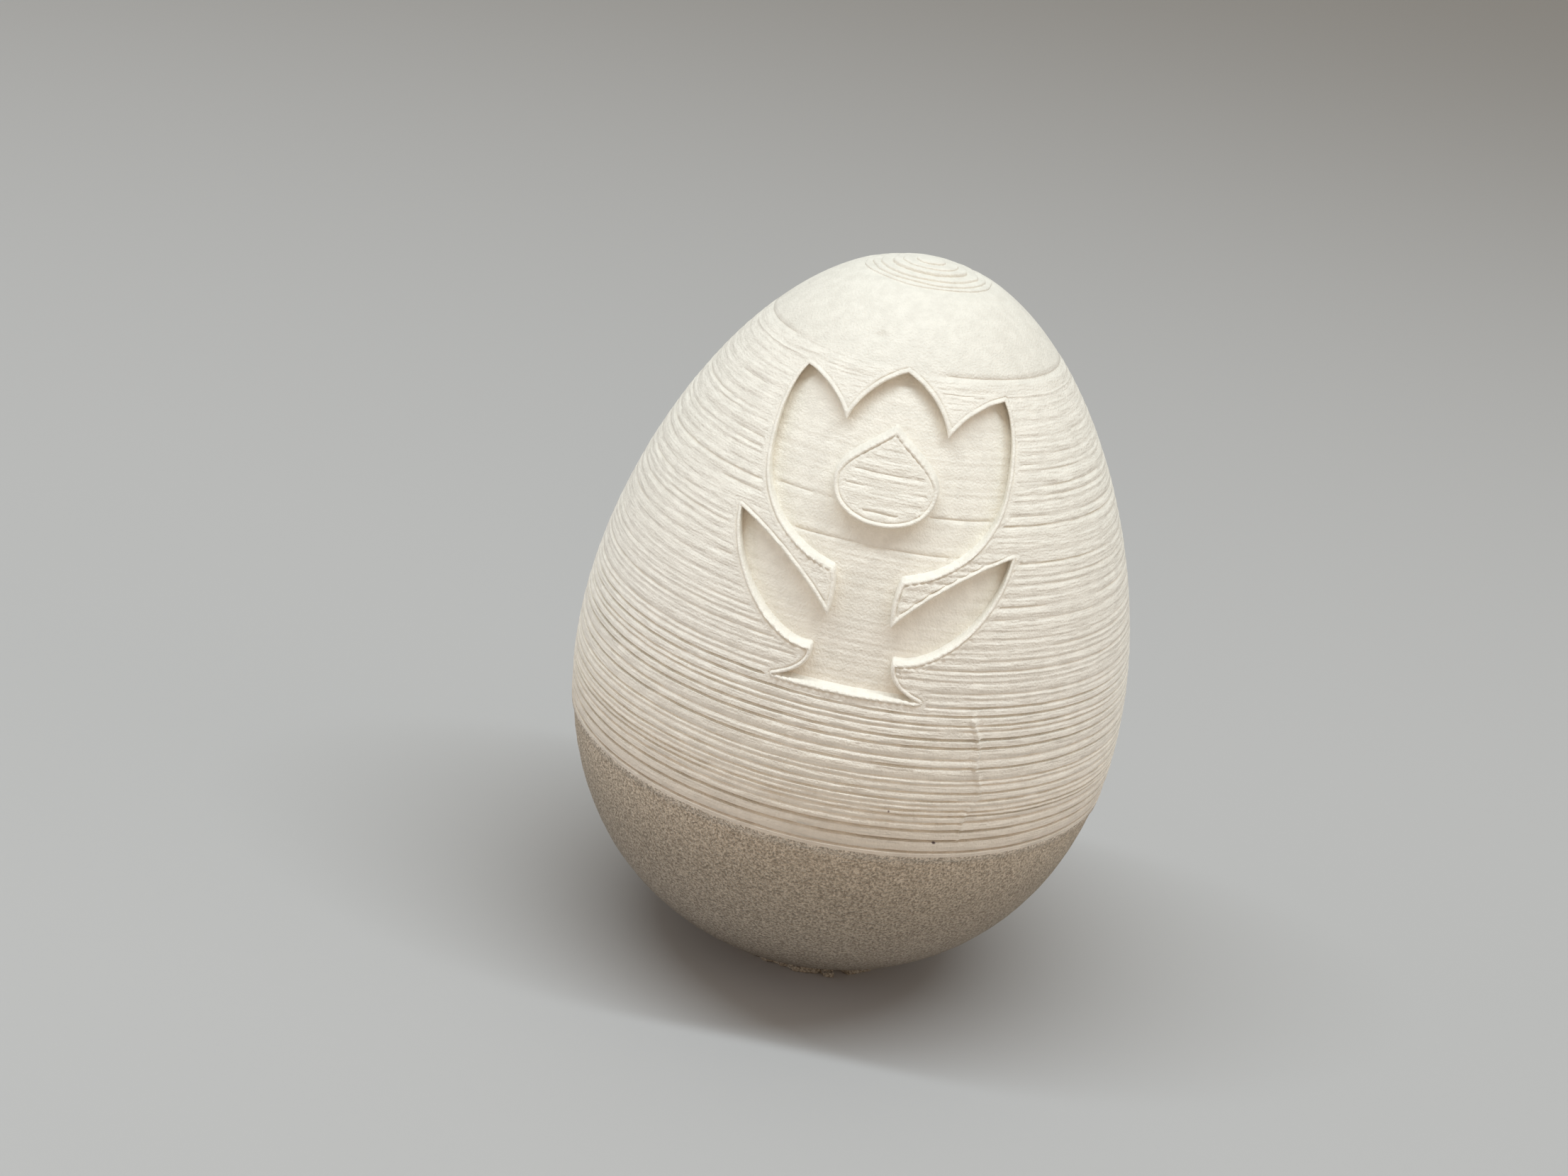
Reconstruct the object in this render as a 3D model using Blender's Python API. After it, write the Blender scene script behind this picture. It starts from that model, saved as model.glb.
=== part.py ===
"""Engraved egg: one printed solid that stands upright on a small flat foot.

Metres, +Z up. The origin is the middle of the foot, and the carved flower faces -Y.
"""

import math
import random

import bmesh
import bpy
import numpy as np

# Egg form: half-width follows sin(t) * exp(taper*cos t + fullness*cos^2 t + skew*cos^3 t),
# and the flat foot cuts its lowest part away
EGG_WIDTH = 0.0440
EGG_HEIGHT = 0.05835
BASE_CUT = 0.0008
EGG_TAPER = 0.192
EGG_FULLNESS = 0.008
EGG_SKEW = -0.007

# Flat foot: a low edge, then a flare that runs into the egg form
FOOT_RADIUS = 0.0084
FOOT_EDGE = 0.0003
FOOT_EDGE_FLARE = 0.00025
FOOT_TOP = 0.0012
FOOT_RAGGED = 0.0003

# Heights of the zones above the foot
LIP_BOTTOM = 0.01795
LIP_TOP = 0.0188
COARSE_TOP = 0.0302
FINE_TOP = 0.0509
CAP_BOTTOM = 0.05175
TIP_BOTTOM = 0.0564

# Relief, outward from the egg form
ROUGH_INSET = 0.00012
ROUGH_GRAIN = 0.00010
ROUGH_ROWS = 8
LIP_PROUD = 0.00010
LIP_EDGE = 0.0001
LIP_FALL = 0.0002
COARSE_PITCH = 0.00088
COARSE_CREST = 0.00010
COARSE_VALLEY = 0.00018
FINE_PITCH = 0.00138
FINE_CREST = 0.00005
FINE_VALLEY = 0.00011
CREST_PLACE = 0.15
VALLEY_PLACE = 0.75
CAP_GROOVE = 0.00010
CAP_GROOVE_FALL = 0.0002
CAP_GROOVE_RISE = 0.00015
CAP_ROWS = 6
TIP_STEP = 0.00019
TIP_STEPS = 6
LAYER_WANDER = 0.00010
# Waves of the wander: share of it, waves round the egg, and lean for each millimetre of height
WANDER_WAVES = ((0.6, 2.0, 0.55), (0.4, 5.0, -0.35))

# Carved flower
CARVE_DEPTH = 0.0010
BEAD_WIDTH = 0.00070
BEAD_HEIGHT = 0.00016
FLOWER_BACK = -0.004
FLOWER_FRONT = -0.030
CURVE_STEPS = 7
OUTLINE_SPACING = 0.00018
FOLD_MARGIN = 0.97

# Mesh
SEGMENTS = 40
INNER_ROWS = 26
POLE_MARGIN = 0.1
SHARP_ANGLE = 35.0
WELD = 1e-7
HAIR = 1e-5
SEED = 11

# Plastic
PLASTIC_COLOR = (0.78, 0.74, 0.66, 1.0)
PLASTIC_ROUGHNESS = 0.62

# Right half of the flower: point, handle before it, handle after it, as (x, z)
FLOWER = (
    ((0.0, 0.0305), (0.0, 0.0305), (0.0, 0.0305)),
    ((0.0053, 0.0305), (0.0053, 0.0305), (0.0037, 0.0311)),
    ((0.0030, 0.0331), (0.0027, 0.0321), (0.0054, 0.0327)),
    ((0.0099, 0.0406), (0.0097, 0.036), (0.0076, 0.0399)),
    ((0.0023, 0.0355), (0.0043, 0.0378), (0.0021, 0.0365)),
    ((0.0025, 0.0386), (0.0022, 0.0379), (0.0056, 0.0392)),
    ((0.0086, 0.0448), (0.0085, 0.0412), (0.0087, 0.0472)),
    ((0.0072, 0.0505), (0.0081, 0.0494), (0.0056, 0.0502)),
    ((0.0037, 0.0481), (0.0044, 0.0492), (0.0032, 0.0497)),
    ((0.0, 0.05165), (0.0015, 0.0511), (0.0, 0.05165)),
)
# Right half of the bud that stays raised inside the flower head
BUD = (
    ((0.0, 0.0419), (0.0, 0.0419), (0.0022, 0.0419)),
    ((0.0037, 0.0444), (0.0037, 0.0429), (0.0037, 0.0458)),
    ((0.0, 0.0481), (0.0012, 0.047), (0.0, 0.0481)),
)


def egg_shape(t):
    """Half-width of the egg form at angle t from the base, before scaling."""
    c = math.cos(t)
    return math.sin(t) * math.exp(EGG_TAPER * c + EGG_FULLNESS * c**2 + EGG_SKEW * c**3)


WIDEST = max(egg_shape(math.pi * i / 2000) for i in range(1, 2000))


def radius_at(z):
    """Radius of the smooth egg form at height z above the foot."""
    t = math.acos(max(-1.0, min(1.0, 1.0 - 2.0 * (z + BASE_CUT) / EGG_HEIGHT)))
    return EGG_WIDTH / 2 * egg_shape(t) / WIDEST


def ridges(low, high, pitch, crest, valley):
    """Rows of a run of layer ridges: a crest and a valley for each pitch."""
    count = round((high - low) / pitch)
    step = (high - low) / count
    rows = []
    for i in range(count):
        rows.append((low + (i + CREST_PLACE) * step, crest))
        rows.append((low + (i + VALLEY_PLACE) * step, -valley))
    return rows


def body_rows():
    """(height, radius) of each turned row, from the top of the foot to the tip's first step."""
    rough_step = (LIP_BOTTOM - FOOT_TOP) / ROUGH_ROWS
    offsets = [(FOOT_TOP + i * rough_step, -ROUGH_INSET) for i in range(ROUGH_ROWS)]
    offsets += [(LIP_BOTTOM, -ROUGH_INSET), (LIP_BOTTOM + LIP_EDGE, LIP_PROUD), (LIP_TOP, LIP_PROUD)]
    offsets += ridges(LIP_TOP + LIP_FALL, COARSE_TOP, COARSE_PITCH, COARSE_CREST, COARSE_VALLEY)
    offsets += ridges(COARSE_TOP, FINE_TOP, FINE_PITCH, FINE_CREST, FINE_VALLEY)
    offsets.append((FINE_TOP + CAP_GROOVE_FALL, FINE_CREST))
    offsets += [(CAP_BOTTOM - CAP_GROOVE_RISE, -CAP_GROOVE), (CAP_BOTTOM, 0.0)]
    cap_step = (TIP_BOTTOM - CAP_BOTTOM) / CAP_ROWS
    offsets += [(CAP_BOTTOM + i * cap_step, 0.0) for i in range(1, CAP_ROWS)]
    return [(z, radius_at(z) + offset) for z, offset in offsets]


def tip_rows():
    """The printed steps at the tip: a riser and a tread for each layer."""
    rows = []
    for i in range(TIP_STEPS):
        low = TIP_BOTTOM + i * TIP_STEP
        radius = radius_at(low + TIP_STEP / 2)
        rows += [(low, radius), (low + TIP_STEP, radius)]
    return rows


def spun_mesh(name, rows, close_bottom_at):
    """Turns (height, radius) rows about Z into a closed mesh."""
    mesh = bpy.data.meshes.new(name)
    bm = bmesh.new()
    bottom = bm.verts.new((0.0, 0.0, close_bottom_at))
    profile = [bottom] + [bm.verts.new((radius, 0.0, z)) for z, radius in rows]
    profile.append(bm.verts.new((0.0, 0.0, rows[-1][0])))
    edges = [bm.edges.new(pair) for pair in zip(profile[:-1], profile[1:])]
    bmesh.ops.spin(
        bm,
        geom=profile + edges,
        axis=(0.0, 0.0, 1.0),
        cent=(0.0, 0.0, 0.0),
        steps=SEGMENTS,
        angle=math.tau,
        use_merge=True,
    )
    bmesh.ops.remove_doubles(bm, verts=bm.verts, dist=WELD)
    bmesh.ops.recalc_face_normals(bm, faces=bm.faces)
    bm.to_mesh(mesh)
    bm.free()
    return mesh


def roughen(mesh):
    """Ragged foot, grainy lower part and layer ridges that wander a little."""
    shake = random.Random(SEED)
    ragged = [shake.uniform(-1.0, 1.0) for _ in range(SEGMENTS)]
    for vertex in mesh.vertices:
        x, y, z = vertex.co
        radius = math.hypot(x, y)
        if radius < HAIR:
            continue
        turn = math.atan2(y, x)
        change = 0.0
        if z < FOOT_TOP - HAIR:
            change = FOOT_RAGGED * ragged[round(turn / math.tau * SEGMENTS) % SEGMENTS]
        elif z < LIP_BOTTOM - HAIR:
            change = ROUGH_GRAIN * shake.uniform(-1.0, 1.0)
        elif LIP_TOP < z < FINE_TOP:
            vertex.co.z += LAYER_WANDER * wander(turn, z)
        vertex.co.x *= (radius + change) / radius
        vertex.co.y *= (radius + change) / radius


def wander(turn, z):
    """Slow rise and fall of a layer line around the egg, between -1 and 1."""
    z_mm = z * 1000.0
    return sum(share * math.sin(waves * turn + lean * z_mm) for share, waves, lean in WANDER_WAVES)


def outline(knots):
    """Closed outline, anticlockwise, of a shape given by the Bezier knots of its right half."""
    half = []
    for (start, _, leave), (end, arrive, _) in zip(knots[:-1], knots[1:]):
        steps = 1 if leave == start and arrive == end else CURVE_STEPS
        for i in range(steps):
            t = i / steps
            weights = ((1 - t) ** 3, 3 * (1 - t) ** 2 * t, 3 * (1 - t) * t**2, t**3)
            half.append(sum(w * np.array(p) for w, p in zip(weights, (start, leave, arrive, end))))
    half.append(np.array(knots[-1][0]))
    mirrored = [np.array((-x, z)) for x, z in half[-2:0:-1]]
    return np.array(half + mirrored)


def distance_to(points, loop):
    """Shortest distance of each point to a closed loop."""
    starts, ends = loop, np.roll(loop, -1, axis=0)
    along = ends - starts
    lengths = (along**2).sum(axis=1)
    share = ((points[:, None] - starts) * along).sum(axis=2) / lengths
    nearest = starts + np.clip(share, 0.0, 1.0)[..., None] * along
    return np.sqrt(((points[:, None] - nearest) ** 2).sum(axis=2).min(axis=1))


def grown(loop, width):
    """The loop moved outward by width, or inward where width is negative, with folds left out."""
    along = np.roll(loop, -1, axis=0) - loop
    outward = np.stack([along[:, 1], -along[:, 0]], axis=1)
    outward /= np.linalg.norm(outward, axis=1)[:, None]
    middles = loop + along / 2
    starts, ends = loop, loop + along
    moved = np.stack([place + outward * width for place in (starts, middles, ends)], axis=1).reshape(-1, 2)
    kept = moved[distance_to(moved, loop) > abs(width) * FOLD_MARGIN]
    apart = np.linalg.norm(kept - np.roll(kept, 1, axis=0), axis=1) > OUTLINE_SPACING
    return kept[apart]


def prism(name, outer, hole):
    """Solid between two outlines in the XZ plane, running from the flower's front to its back."""
    curve = bpy.data.curves.new(name, "CURVE")
    curve.dimensions = "2D"
    curve.fill_mode = "BOTH"
    curve.extrude = (FLOWER_BACK - FLOWER_FRONT) / 2
    for loop in (outer, hole):
        spline = curve.splines.new("POLY")
        spline.points.add(len(loop) - 1)
        spline.use_cyclic_u = True
        for point, (x, z) in zip(spline.points, loop):
            point.co = (x, z, 0.0, 1.0)
    guide = bpy.data.objects.new(name + "_curve", curve)
    bpy.context.scene.collection.objects.link(guide)
    bpy.context.view_layer.update()
    mesh = bpy.data.meshes.new_from_object(guide.evaluated_get(bpy.context.evaluated_depsgraph_get()))
    bpy.data.objects.remove(guide)
    bm = bmesh.new()
    bm.from_mesh(mesh)
    bmesh.ops.remove_doubles(bm, verts=bm.verts, dist=WELD)
    middle = (FLOWER_BACK + FLOWER_FRONT) / 2
    for vertex in bm.verts:
        x, z, depth = vertex.co
        vertex.co = (x, middle - depth, z)
    bmesh.ops.recalc_face_normals(bm, faces=bm.faces)
    bm.to_mesh(mesh)
    bm.free()
    return mesh


def helper(name, mesh):
    """An object that only shapes another one."""
    piece = bpy.data.objects.new(name, mesh)
    bpy.context.scene.collection.objects.link(piece)
    piece.hide_render = True
    piece.display_type = "WIRE"
    return piece


def boolean(piece, name, operation, other):
    modifier = piece.modifiers.new(name, "BOOLEAN")
    modifier.operation = operation
    modifier.solver = "EXACT"
    modifier.object = other


def smooth_form(name, offset):
    """The plain egg form, moved outward by offset."""
    rows = []
    for i in range(INNER_ROWS + 1):
        t = POLE_MARGIN + (math.pi - 2 * POLE_MARGIN) * i / INNER_ROWS
        z = EGG_HEIGHT * (1 - math.cos(t)) / 2 - BASE_CUT
        rows.append((z, radius_at(z) + offset))
    return spun_mesh(name, rows, rows[0][0])


def plastic():
    material = bpy.data.materials.new("cream_plastic")
    material.use_nodes = True
    shader = material.node_tree.nodes["Principled BSDF"]
    shader.inputs["Base Color"].default_value = PLASTIC_COLOR
    shader.inputs["Roughness"].default_value = PLASTIC_ROUGHNESS
    shader.inputs["Metallic"].default_value = 0.0
    return material


def clear_scene():
    for thing in list(bpy.data.objects):
        bpy.data.objects.remove(thing)


def make_egg():
    foot = [(0.0, FOOT_RADIUS), (FOOT_EDGE, FOOT_RADIUS + FOOT_EDGE_FLARE)]
    mesh = spun_mesh("egg", foot + body_rows() + tip_rows(), 0.0)
    roughen(mesh)
    mesh.materials.append(plastic())
    egg = bpy.data.objects.new("egg", mesh)
    bpy.context.scene.collection.objects.link(egg)

    flower, bud = outline(FLOWER), outline(BUD)
    inner = helper("inner_form", smooth_form("inner_form", -CARVE_DEPTH))
    outer = helper("outer_form", smooth_form("outer_form", BEAD_HEIGHT))
    cutter = helper("flower_cutter", prism("flower_cutter", flower, bud))
    boolean(cutter, "follow_the_egg", "DIFFERENCE", inner)
    bead = helper("bead_blank", prism("bead_blank", grown(flower, BEAD_WIDTH), grown(bud, -BEAD_WIDTH)))
    boolean(bead, "follow_the_egg", "INTERSECT", outer)
    boolean(egg, "raised_bead", "UNION", bead)
    boolean(egg, "carved_flower", "DIFFERENCE", cutter)

    mesh.shade_smooth()
    mesh.set_sharp_from_angle(angle=math.radians(SHARP_ANGLE))
    return egg


clear_scene()
make_egg()
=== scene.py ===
"""Looks of the engraved egg: a layered skin, a carved flower, a sandy underside and a ragged foot.

Metres, +Z up. The foot rests on Z = 0 and the flower faces -Y. A turn is an angle about Z, 0 at the
flower and growing towards +X. A height is measured from the foot.
"""

import math
import random

import bpy
import numpy as np
from mathutils import Matrix, Vector, noise
from mathutils.geometry import delaunay_2d_cdt


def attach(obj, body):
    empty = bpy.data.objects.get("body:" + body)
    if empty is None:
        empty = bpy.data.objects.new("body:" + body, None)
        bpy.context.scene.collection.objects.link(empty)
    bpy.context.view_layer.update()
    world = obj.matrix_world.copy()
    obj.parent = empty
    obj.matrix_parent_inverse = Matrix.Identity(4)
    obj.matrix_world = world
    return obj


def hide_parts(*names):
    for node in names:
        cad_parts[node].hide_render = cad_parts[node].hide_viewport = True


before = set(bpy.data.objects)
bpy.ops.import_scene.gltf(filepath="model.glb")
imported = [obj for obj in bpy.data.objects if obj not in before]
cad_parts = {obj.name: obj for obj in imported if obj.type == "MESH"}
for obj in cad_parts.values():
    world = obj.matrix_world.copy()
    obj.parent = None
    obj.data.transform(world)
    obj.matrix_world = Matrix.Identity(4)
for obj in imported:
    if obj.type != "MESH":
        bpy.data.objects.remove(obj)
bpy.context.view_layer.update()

# Egg form and carved flower, the same values as the solid's
EGG_WIDTH = 0.0440
EGG_HEIGHT = 0.05835
BASE_CUT = 0.0008
EGG_TAPER = 0.192
EGG_FULLNESS = 0.008
EGG_SKEW = -0.007
CARVE_DEPTH = 0.0010
FLOWER = (
    ((0.0, 0.0305), (0.0, 0.0305), (0.0, 0.0305)),
    ((0.0053, 0.0305), (0.0053, 0.0305), (0.0037, 0.0311)),
    ((0.0030, 0.0331), (0.0027, 0.0321), (0.0054, 0.0327)),
    ((0.0099, 0.0406), (0.0097, 0.036), (0.0076, 0.0399)),
    ((0.0023, 0.0355), (0.0043, 0.0378), (0.0021, 0.0365)),
    ((0.0025, 0.0386), (0.0022, 0.0379), (0.0056, 0.0392)),
    ((0.0086, 0.0448), (0.0085, 0.0412), (0.0087, 0.0472)),
    ((0.0072, 0.0505), (0.0081, 0.0494), (0.0056, 0.0502)),
    ((0.0037, 0.0481), (0.0044, 0.0492), (0.0032, 0.0497)),
    ((0.0, 0.05165), (0.0015, 0.0511), (0.0, 0.05165)),
)
BUD = (
    ((0.0, 0.0419), (0.0, 0.0419), (0.0022, 0.0419)),
    ((0.0037, 0.0444), (0.0037, 0.0429), (0.0037, 0.0458)),
    ((0.0, 0.0481), (0.0012, 0.047), (0.0, 0.0481)),
)

# Heights of the zones
FOOT_TOP = 0.0012
LIP_BOTTOM = 0.01795
LIP_TOP = 0.0188
COARSE_TOP = 0.0302
FINE_TOP = 0.0509
CAP_BOTTOM = 0.05175
TIP_BOTTOM = 0.05652
TIP_TOP = 0.0575

# Printed layers: their kinds, as share of the layers and pitch, and the relief of their middles and grooves
LAYER_KINDS = ((0.45, 0.00036, 0.00052), (0.33, 0.00056, 0.00074), (0.22, 0.00082, 0.00102))
COARSE_GROOVE = 0.000150
COARSE_CREST = 0.000046
FINE_GROOVE = 0.000080
FINE_CREST = 0.000032
GROOVE_WEIGHTS = (0.35, 1.65)
GROOVE_WIDTH = 0.00014
GROOVE_SHARE_LIMIT = 0.32
# Grooves are marked fully at this pitch, and less on thinner layers, within these limits
MARKED_PITCH = 0.0006
MARK_LIMITS = (0.55, 1.15)
# Lengths over which grooves come and go, and their even, long and short shares
LONG_PATCH = 0.009
SHORT_PATCH = 0.0017
COARSE_PATCHES = (0.95, 0.60, 0.80)
FINE_PATCHES = (0.70, 1.10, 0.55)
COARSE_FADE = (-0.0015, 0.0025)
COARSE_SIDE_BOOST = 1.45
FINE_SIDE_BOOST = 0.35
CALM_BOTTOM = 0.0460
CALM_TOP = 0.0504
CALM_SHARE = 0.55
LAYER_WANDER = 0.00007
LAYER_SHAKE = 0.000030
CAP_GROOVE = 0.000120
# Turns to the right and to the left over which the groove at the cap's edge comes in
CAP_EDGE_RIGHT = (math.radians(4.0), math.radians(18.0))
CAP_EDGE_LEFT = (math.radians(30.0), math.radians(60.0))
BULGE_SHARE = 0.8
BULGE_LENGTH = 0.006
# Waves of the layers: across and up
WANDER_WAVE = (0.012, 0.006)
SHAKE_WAVE = (0.0013, 0.0008)
LIP_PROUD = 0.00007
LIP_RISE = 0.00015
LIP_FALL = 0.0001
LIP_WAVE = (0.002, 0.001)
LIP_WAVE_SHARE = 0.5
LIP_SANDED_TOP = 0.0182

# Seam, where each printed layer ends and the next begins
SEAM_TURN = math.radians(28.2)
SEAM_BOTTOM = 0.0193
SEAM_TOP = 0.0300
SEAM_WIDTH = 0.00017
SEAM_PROUD = 0.00010
SEAM_BEAD = 1.0
SEAM_BEAD_BOTTOM = 0.0250
SEAM_SLIP = 0.00030
SEAM_SLIP_HEIGHT = 0.0011
SEAM_FADE = 0.0004
SEAM_END = 0.0005
SEAM_BEAD_RISE = 0.0008
# Meanders of the seam: degrees to each side, and height for each radian of the wave
SEAM_MEANDERS = ((1.3, 0.0017), (0.6, 0.00061))

# Two printed strands round the carving, the outer one faint: distance outward, and height above the form
STRANDS_SECTION = (
    (0.0, 0.000030),
    (0.00004, 0.000080),
    (0.00011, 0.000110),
    (0.00018, 0.000076),
    (0.00023, 0.000008),
    (0.00027, -0.000060),
    (0.00033, 0.0),
    (0.00043, 0.000020),
    (0.00055, 0.0),
)
STRANDS_WIDTH = STRANDS_SECTION[-1][0]
# Unevenness of the strands: share, length along the edge, salt of the noise
STRAND_WAVES = ((0.50, 0.0016, 0.5), (0.55, 0.00050, 4.5))
OUTER_STRAND_WAVE = (1.6, 0.0030, 8.5)
OUTER_STRAND_LOSS = 0.2
STRAND_ENDS_RELIEF = 0.00014
STRAND_ENDS_ACROSS = (0.0015, 0.0035)
STRAND_ENDS_FADE = (0.0005, 0.0010)
STRAND_ENDS_SINK = 0.6
STRAND_ENDS_BOTTOM = 0.0315
STRAND_ENDS_TOP = 0.0430

# Wall inside the carving's edge: distance inward, share of the depth. Bumps stand on walls that face up
WALL_SECTION = ((0.0, 0.0), (0.00002, 0.07), (0.00007, 0.20), (0.00011, 1.0))
WALL_BUMP = 0.00052
WALL_BUMP_RELIEF = 0.00016
ROPE_RELIEF = 0.7
FLOOR_EDGE = 0.00030
FLOOR_LAYERS = 0.42
FLOOR_LINE = 0.000060
FLOOR_LINE_WEIGHT = 1.10
FLOOR_LINE_LENGTH = 0.006
FLOOR_LINE_SHARES = (0.6, 1.4)
EDGE_WOBBLE = 0.000035
EDGE_WOBBLE_LENGTH = 0.0007
EDGE_SPACING = 0.00016
CORNER_ANGLE = math.radians(25.0)
FOLD_MARGIN = 0.98
CLOSEST_SHARE = 0.7
# Turn of the edge at which a wall starts to face up, and at which it fully does, as a share of upright
LEDGE_FACING = (0.55, 0.95)
# Wall bumps: how far inside the edge they stand, and how far they reach from there
WALL_BUMP_PLACE = 0.00008
WALL_BUMP_REACH = 0.00016

# Window of the skin that is meshed round the carving
WINDOW_TURN = math.radians(38.0)
WINDOW_BOTTOM = 0.0291
WINDOW_TOP = 0.0530

# Columns of the layered zone, in degrees: their width at the front, at the seam, at the sides and behind
FRONT_COLUMN = 0.85
SEAM_COLUMN = 0.4
SEAM_COLUMNS = (25.7, 30.7)
SIDE_COLUMN = 1.35
SIDE_END = 100.0
BACK_COLUMN = 2.9
# Rows above the lip's bottom, and rows above the cap's bottom
LIP_ROWS = (0.00004, 0.00015, 0.00045, 0.00072)
CAP_EDGE_ROWS = (0.0, 0.00012, 0.0004, 0.0008, 0.00115)

# Small dent in the cap: its place, radius and depth
DENT_TURN = math.radians(-15.0)
DENT_LEVEL = 0.05335
DENT_RADIUS = 0.00050
DENT_DEPTH = 0.00022
DENT_FLATNESS = 0.6
DENT_FLOOR_SHARE = 0.3

# Rough underside and foot
ROUGH_INSET = 0.00008
ROUGH_LUMP = 0.00003
ROUGH_ROWS = 58
# Its lumps: share, width, height and salt of each kind
LUMP_KINDS = ((1.0, 0.0011, 0.0010, 4.0), (0.6, 0.0005, 0.0005, 6.0))
FOOT_RADIUS = 0.00805
FOOT_THICK = 0.00055
# Lumps and gaps of the foot's torn edge: turn and half-width in degrees, reach past the foot's radius
FOOT_LUMPS = (
    (9.0, 9.0, 0.00040),
    (22.0, 3.2, 0.00090),
    (29.0, 3.2, -0.00010),
    (40.0, 8.0, 0.00075),
    (55.0, 8.0, 0.00070),
)
FOOT_EXTRA_LUMPS = 16
FOOT_FRAY = 0.00012
FOOT_FRAY_LENGTH = 0.0012
FOOT_COLUMNS = 300
# Flat underside: columns and radius of its inner ring, and how far its outer ring stays in from the edge
SOLE_COLUMNS = 60
SOLE_RADIUS = 0.0035
SOLE_INSET = 0.0009
# Section of the torn edge: height, and inset from its reach. Then the heights of its skirt
FOOT_SECTION = ((0.0, 0.00008), (0.00006, 0.0), (0.00026, -0.00002), (0.00042, 0.00010))
SKIRT_HEIGHTS = (0.00058, 0.0008)
SKIRT_INSET = 0.0003
SKIRT_SLOPE = 1.5

# Steps at the tip: height of each tread and the radius at its outer edge
TIP_TREADS = (
    (0.05652, 0.0048),
    (0.05670, 0.0043),
    (0.05690, 0.0037),
    (0.05718, 0.0028),
    (0.05733, 0.0021),
    (0.05750, 0.0011),
)

# Section of one step: share of its rise, and inset from its radius
TIP_SECTION = ((0.02, 0.0), (0.55, 0.00001), (0.88, 0.00006), (1.0, 0.00017))
TIP_START = 0.00015
# Unevenness of the steps' radii: share of the radius, and length of the wave on the egg
TIP_WAVES = ((0.045, 0.011, 13.0), (0.012, 0.003, 15.0))
TIP_COLUMNS = 160
TIP_FEW_COLUMNS = 80
TIP_FEW_COLUMNS_RADIUS = 0.002
TIP_CENTRE_RISE = 0.00001

# Smooth cap: its columns and rows, the gaps that it keeps to the window and the tip, and its soft relief
CAP_COLUMNS = 220
CAP_ROWS = 20
CAP_START = 0.0002
CAP_END = 0.00025
CAP_SOFT_RELIEF = 0.00001
CAP_SOFT_WAVE = 0.002

# Finish of the plastic: grain and streak sizes, their relief, and the colour at each height with its painted
# shade
SAND_SIZE = 0.00019
SAND_RELIEF = 0.00034
# Sand tones: painted shade in the gaps between grains and painted highlight on their tops, with some real
# tone of the grains
SAND_GAP_SHADE = (0.64, 0.60, 0.55)
SAND_TOP_HIGHLIGHT = (1.38, 1.36, 1.33)
SAND_MOUND = 0.6
SAND_SHADE_STEP = (0.32, 0.68)
SAND_ROUGHNESS = 0.80
TOOTH_SIZE = 0.00017
TOOTH_RELIEF = 0.000055
STREAK_HEIGHT = 0.00027
STREAK_LENGTH = 0.0026
STREAK_RELIEF = 0.000125
MOTTLE_SIZE = 0.0011
MOTTLE_DARK = (0.95, 0.945, 0.94)
MOTTLE_LIGHT = (1.05, 1.05, 1.05)
MOTTLE_STEP = (0.30, 0.70)
SKIN_ROUGHNESS = 0.55
# Painted shade: the colour gets darker and warmer towards the foot and below the lip, where the underside
# gets little light, and a little darker on the cap; the rough plastic below the lip is also really duller
ZONE_COLOURS_AND_SHADE = (
    (0.0, (0.330, 0.300, 0.245)),
    (0.0009, (0.330, 0.300, 0.245)),
    (0.0020, (0.225, 0.200, 0.170)),
    (0.0072, (0.375, 0.334, 0.280)),
    (0.0132, (0.455, 0.399, 0.323)),
    (LIP_BOTTOM - 0.0004, (0.600, 0.520, 0.417)),
    (LIP_BOTTOM + 0.0001, (0.680, 0.608, 0.512)),
    (0.0202, (0.765, 0.700, 0.598)),
    (0.0242, (0.800, 0.750, 0.655)),
    (0.0300, (0.815, 0.775, 0.690)),
    (0.0430, (0.820, 0.785, 0.695)),
    (FINE_TOP, (0.805, 0.765, 0.676)),
    (CAP_BOTTOM + 0.0004, (0.755, 0.720, 0.635)),
)
# Specks: turn in degrees, height, radius, colour
SPECKS = (
    (23.0, 0.01975, 0.00022, (0.10, 0.07, 0.07)),
    (12.6, 0.0221, 0.00012, (0.25, 0.19, 0.17)),
)

SEED = 23
POINTS_AT_ONCE = 2000


def form_shape(t):
    """Half-width of the egg form at angle t from the base, before scaling."""
    c = np.cos(t)
    return np.sin(t) * np.exp(EGG_TAPER * c + EGG_FULLNESS * c**2 + EGG_SKEW * c**3)


WIDEST = form_shape(np.linspace(0.0, math.pi, 2001)).max()


def radius_at(height):
    """Radius of the smooth egg form at each height."""
    t = np.arccos(np.clip(1.0 - 2.0 * (height + BASE_CUT) / EGG_HEIGHT, -1.0, 1.0))
    return EGG_WIDTH / 2 * form_shape(t) / WIDEST


def blotches(turn, height, across, up, salt=0.0):
    """Noise from -1 to 1 whose blotches are about that wide and tall on the egg."""
    reach = EGG_WIDTH / 2 / across
    x, y, z = np.broadcast_arrays(np.sin(turn) * reach + salt, np.cos(turn) * reach, height / up)
    values = [noise.noise(point) for point in zip(x.ravel(), y.ravel(), z.ravel())]
    return np.array(values).reshape(x.shape)


def smooth_step(low, high, value):
    """0 up to low, 1 from high, and a soft rise between."""
    t = np.clip((value - low) / (high - low), 0.0, 1.0)
    return t * t * (3.0 - 2.0 * t)


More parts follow.
